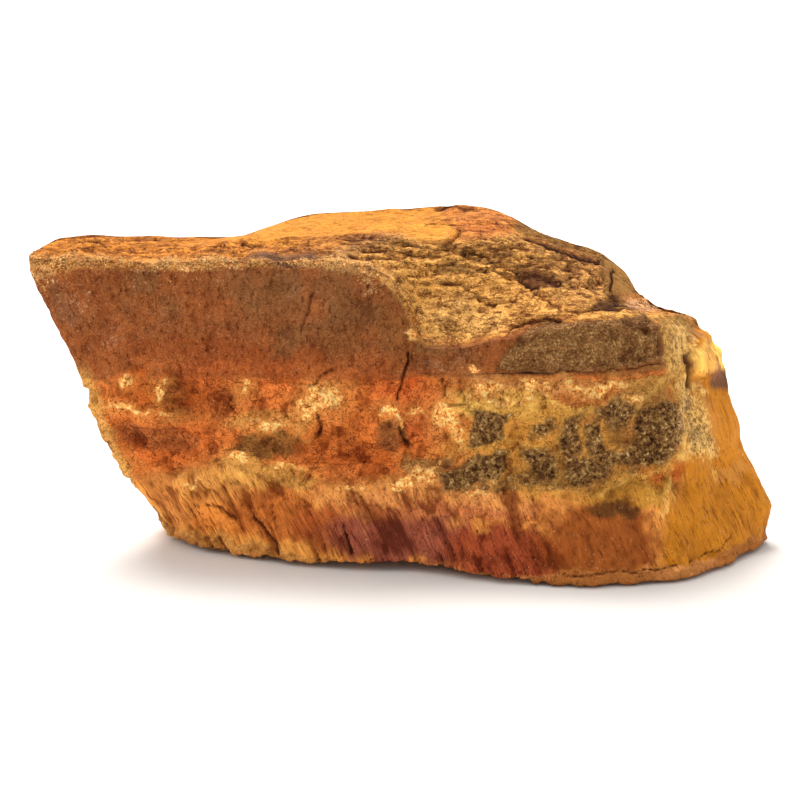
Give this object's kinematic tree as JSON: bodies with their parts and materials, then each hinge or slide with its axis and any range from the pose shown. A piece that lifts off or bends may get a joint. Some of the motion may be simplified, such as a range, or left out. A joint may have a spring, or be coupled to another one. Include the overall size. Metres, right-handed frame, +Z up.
{
  "type": "rough tiger's eye stone",
  "caption": "Broken lump of banded rough tiger's eye with an overhanging prow at one end, a stepped top and a flat resting face.",
  "frame": {"origin": "a point of the resting flat under the stone, about the middle of its length", "axes": "+X along the stone from the sharp overhanging prow to the thick end, -Y out of the banded face, +Z up from the resting flat"},
  "size_m": [0.1196, 0.0522, 0.0515],
  "materials": {
    "tigers_eye": "broken, matt, with dull silky fibres in the lowest band"
  },
  "bodies": {
    "root": {"stone": "tigers_eye"}
  },
  "joints": []
}
